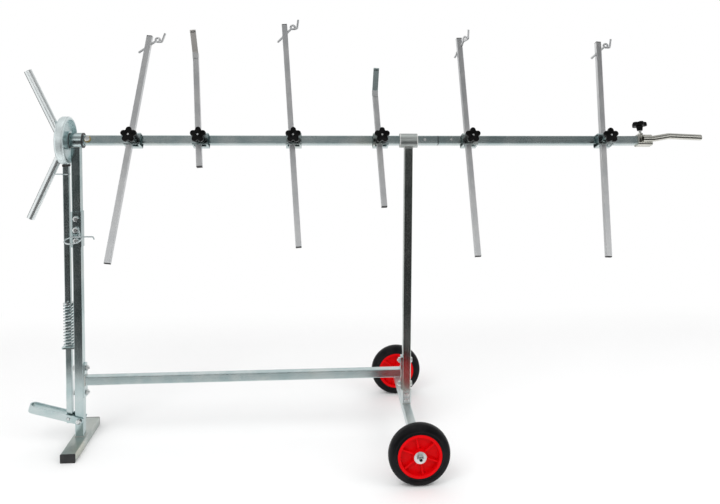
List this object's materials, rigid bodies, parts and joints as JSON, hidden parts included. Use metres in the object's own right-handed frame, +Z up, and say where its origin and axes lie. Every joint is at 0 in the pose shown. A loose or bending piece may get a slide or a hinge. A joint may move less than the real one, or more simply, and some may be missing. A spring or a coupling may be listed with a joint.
{
  "type": "rotating body panel stand",
  "caption": "Wheeled tubular stand that carries vehicle body panels on hooked arms clamped along a rotating beam, with a pedal-released brake disc and a spray gun ring.",
  "frame": {"origin": "on the floor, at the middle of the foot's underside, under the axis of the head post", "axes": "+X along the beam from the brake disc to the end handle, +Z up, -Y the working side with the knobs"},
  "size_m": [2.4313, 0.7846, 1.5131],
  "materials": {
    "zinc_steel": "bright zinc plating with a bluish tone",
    "clamp_steel": "zinc plated bent strap",
    "arm_steel": "satin zinc plating",
    "bolt_steel": "zinc plated hardware",
    "wire_steel": "zinc plated wire",
    "disc_steel": "zinc plated, satin",
    "bush_plastic": "plain moulded",
    "shoe_rubber": "matte",
    "cap_plastic": "matte moulded",
    "knob_plastic": "glossy moulded",
    "tyre_rubber": "solid rubber",
    "rim_plastic": "glossy moulded"
  },
  "bodies": {
    "frame": {"foot_tube": "zinc_steel", "foot_caps": "cap_plastic", "head_post_lower": "zinc_steel", "head_post_upper": "zinc_steel", "splice_sleeve": "zinc_steel", "stretcher": "zinc_steel", "rear_post": "zinc_steel", "axle_beam": "zinc_steel", "frame_bolts": "bolt_steel", "head_bushes": "bush_plastic", "wheel_axles": "zinc_steel", "axle_nuts": "bolt_steel", "rod_guide": "zinc_steel", "pedal_bolt": "bolt_steel", "gun_holder": "wire_steel", "return_spring": "wire_steel"},
    "rotor": {"brake_disc": "disc_steel", "journal": "zinc_steel", "handle_bars": "zinc_steel", "beam_front": "zinc_steel", "beam_back": "zinc_steel", "beam_spigot": "zinc_steel", "beam_bolts": "bolt_steel", "rear_bushes": "bush_plastic"},
    "wheel_near": {"tyre_near": "tyre_rubber", "rim_near": "rim_plastic"},
    "wheel_far": {"tyre_far": "tyre_rubber", "rim_far": "rim_plastic"},
    "pedal": {"pedal": "zinc_steel"},
    "brake": {"brake_rod": "zinc_steel", "brake_shoe": "shoe_rubber", "rod_pins": "bolt_steel", "hairpin_clip": "wire_steel"},
    "clamp_1": {"clamp_1": "clamp_steel"},
    "knob_1": {"knob_1": "knob_plastic"},
    "arm_1": {"arm_1": "arm_steel", "arm_caps_1": "cap_plastic"},
    "clamp_2": {"clamp_2": "clamp_steel"},
    "knob_2": {"knob_2": "knob_plastic"},
    "arm_2": {"arm_2": "arm_steel", "arm_caps_2": "cap_plastic"},
    "clamp_3": {"clamp_3": "clamp_steel"},
    "knob_3": {"knob_3": "knob_plastic"},
    "arm_3": {"arm_3": "arm_steel", "arm_caps_3": "cap_plastic"},
    "clamp_4": {"clamp_4": "clamp_steel"},
    "knob_4": {"knob_4": "knob_plastic"},
    "arm_4": {"arm_4": "arm_steel", "arm_caps_4": "cap_plastic"},
    "clamp_5": {"clamp_5": "clamp_steel"},
    "knob_5": {"knob_5": "knob_plastic"},
    "arm_5": {"arm_5": "arm_steel", "arm_caps_5": "cap_plastic"},
    "clamp_6": {"clamp_6": "clamp_steel"},
    "knob_6": {"knob_6": "knob_plastic"},
    "arm_6": {"arm_6": "arm_steel", "arm_caps_6": "cap_plastic"},
    "end_handle": {"end_handle": "zinc_steel"},
    "end_knob": {"end_knob": "knob_plastic"}
  },
  "joints": [
    {"name": "beam_spin", "type": "hinge", "parent": "frame", "child": "rotor", "pos_m": [0, 0, 1.075], "axis": [1, 0, 0], "continuous": true},
    {"name": "wheel_near_spin", "type": "hinge", "parent": "frame", "child": "wheel_near", "pos_m": [1.158, -0.35, 0.1], "axis": [0, 1, 0], "continuous": true},
    {"name": "wheel_far_spin", "type": "hinge", "parent": "frame", "child": "wheel_far", "pos_m": [1.158, 0.35, 0.1], "axis": [0, 1, 0], "continuous": true},
    {"name": "pedal_press", "type": "hinge", "parent": "frame", "child": "pedal", "pos_m": [0, 0, 0.088], "axis": [0, -1, 0], "range_deg": [0, 14]},
    {"name": "brake_release", "type": "slide", "parent": "frame", "child": "brake", "axis": [0, 0, -1], "range_m": [0, 0.009], "stiffness_N_per_m": 5300, "springref_m": -0.02, "deforming": ["return_spring"]},
    {"name": "clamp_1_slide", "type": "slide", "parent": "rotor", "child": "clamp_1", "axis": [1, 0, 0], "range_m": [-0.105, 0.11]},
    {"name": "knob_1_turn", "type": "hinge", "parent": "clamp_1", "child": "knob_1", "pos_m": [0.197, -0.05766, 1.092], "axis": [0, -0.9397, 0.342], "range_deg": [0, 360]},
    {"name": "arm_1_slide", "type": "slide", "parent": "clamp_1", "child": "arm_1", "axis": [0.1011, 0.3403, 0.9349], "range_m": [-0.28, 0.3]},
    {"name": "clamp_2_slide", "type": "slide", "parent": "rotor", "child": "clamp_2", "axis": [1, 0, 0], "range_m": [-0.12, 0.25]},
    {"name": "knob_2_turn", "type": "hinge", "parent": "clamp_2", "child": "knob_2", "pos_m": [0.427, -0.05766, 1.092], "axis": [0, -0.9397, 0.342], "range_deg": [0, 360]},
    {"name": "arm_2_slide", "type": "slide", "parent": "clamp_2", "child": "arm_2", "axis": [-0.0785, 0.341, 0.9368], "range_m": [-0.26, 0.07]},
    {"name": "clamp_3_slide", "type": "slide", "parent": "rotor", "child": "clamp_3", "axis": [1, 0, 0], "range_m": [-0.24, 0.23]},
    {"name": "knob_3_turn", "type": "hinge", "parent": "clamp_3", "child": "knob_3", "pos_m": [0.749, -0.05766, 1.092], "axis": [0, -0.9397, 0.342], "range_deg": [0, 360]},
    {"name": "arm_3_slide", "type": "slide", "parent": "clamp_3", "child": "arm_3", "axis": [-0.0732, 0.3411, 0.9372], "range_m": [-0.33, 0.33]},
    {"name": "clamp_4_slide", "type": "slide", "parent": "rotor", "child": "clamp_4", "axis": [1, 0, 0], "range_m": [-0.23, 0.035]},
    {"name": "knob_4_turn", "type": "hinge", "parent": "clamp_4", "child": "knob_4", "pos_m": [1.056, -0.05766, 1.092], "axis": [0, -0.9397, 0.342], "range_deg": [0, 360]},
    {"name": "arm_4_slide", "type": "slide", "parent": "clamp_4", "child": "arm_4", "axis": [-0.0576, 0.3415, 0.9381], "range_m": [-0.118, 0.21]},
    {"name": "clamp_5_slide", "type": "slide", "parent": "rotor", "child": "clamp_5", "axis": [1, 0, 0], "range_m": [-0.14, 0.41]},
    {"name": "knob_5_turn", "type": "hinge", "parent": "clamp_5", "child": "knob_5", "pos_m": [1.376, -0.05766, 1.092], "axis": [0, -0.9397, 0.342], "range_deg": [0, 360]},
    {"name": "arm_5_slide", "type": "slide", "parent": "clamp_5", "child": "arm_5", "axis": [-0.0279, 0.3419, 0.9393], "range_m": [-0.28, 0.3]},
    {"name": "clamp_6_slide", "type": "slide", "parent": "rotor", "child": "clamp_6", "axis": [1, 0, 0], "range_m": [-0.42, 0.07]},
    {"name": "knob_6_turn", "type": "hinge", "parent": "clamp_6", "child": "knob_6", "pos_m": [1.875, -0.05766, 1.092], "axis": [0, -0.9397, 0.342], "range_deg": [0, 360]},
    {"name": "arm_6_slide", "type": "slide", "parent": "clamp_6", "child": "arm_6", "axis": [0.0645, 0.3413, 0.9377], "range_m": [-0.28, 0.3]},
    {"name": "end_handle_slide", "type": "slide", "parent": "rotor", "child": "end_handle", "axis": [1, 0, 0], "range_m": [-0.025, 0.02]},
    {"name": "end_knob_turn", "type": "hinge", "parent": "end_handle", "child": "end_knob", "pos_m": [2.025, 0.01368, 1.11259], "axis": [0, 0.342, 0.9397], "range_deg": [0, 360]}
  ],
  "couplings": [
    {"joint": "brake_release", "follows": "pedal_press", "m_per_rad": 0.03607}
  ]
}
